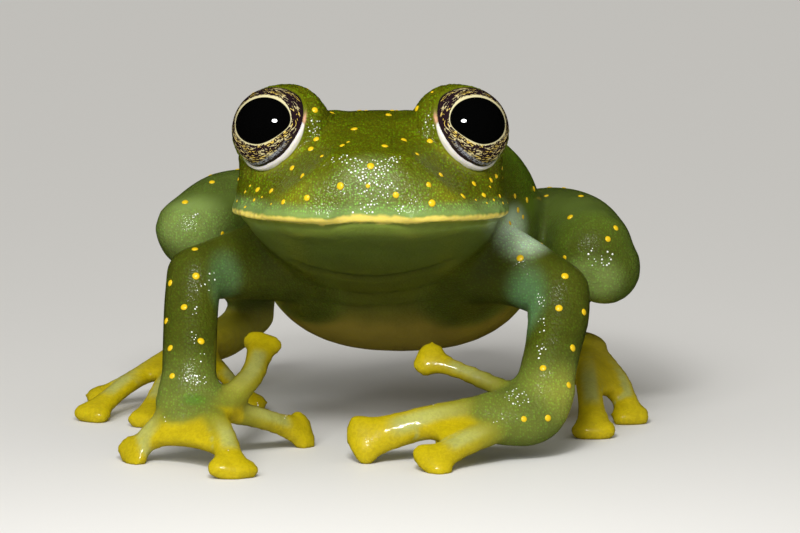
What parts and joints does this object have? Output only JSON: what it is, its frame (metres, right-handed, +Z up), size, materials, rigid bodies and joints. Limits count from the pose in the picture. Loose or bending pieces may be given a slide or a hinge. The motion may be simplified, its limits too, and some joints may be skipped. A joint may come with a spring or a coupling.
{
  "type": "glass frog",
  "caption": "Still, life-size model of a glass frog crouching on the floor, with raised round eyes, wide finger and toe discs and webbed hands.",
  "frame": {"origin": "on the floor, under the middle of the frog's box in X and Y", "axes": "+Z up from the floor, the frog faces -Y, +X is its own left side"},
  "size_m": [0.0226, 0.027, 0.0142],
  "materials": {
    "skin": "moist, finely granular, translucent green with raised yellow spots",
    "eye": "wet, black pupil in a cream and black netted iris"
  },
  "bodies": {
    "root": {"head": "skin", "lower_jaw": "skin", "trunk": "skin", "eye_left": "eye", "eye_right": "eye", "upper_arm_left": "skin", "upper_arm_right": "skin", "forearm_left": "skin", "forearm_right": "skin", "hand_left": "skin", "hand_right": "skin", "finger_left_1": "skin", "finger_left_2": "skin", "finger_left_3": "skin", "finger_left_4": "skin", "finger_right_1": "skin", "finger_right_2": "skin", "finger_right_3": "skin", "finger_right_4": "skin", "thigh_left": "skin", "thigh_right": "skin", "shank_left": "skin", "shank_right": "skin", "foot_left": "skin", "foot_right": "skin", "toe_left_1": "skin", "toe_left_2": "skin", "toe_left_3": "skin", "toe_left_4": "skin", "toe_left_5": "skin", "toe_right_1": "skin", "toe_right_2": "skin", "toe_right_3": "skin", "toe_right_4": "skin", "toe_right_5": "skin"}
  },
  "joints": []
}
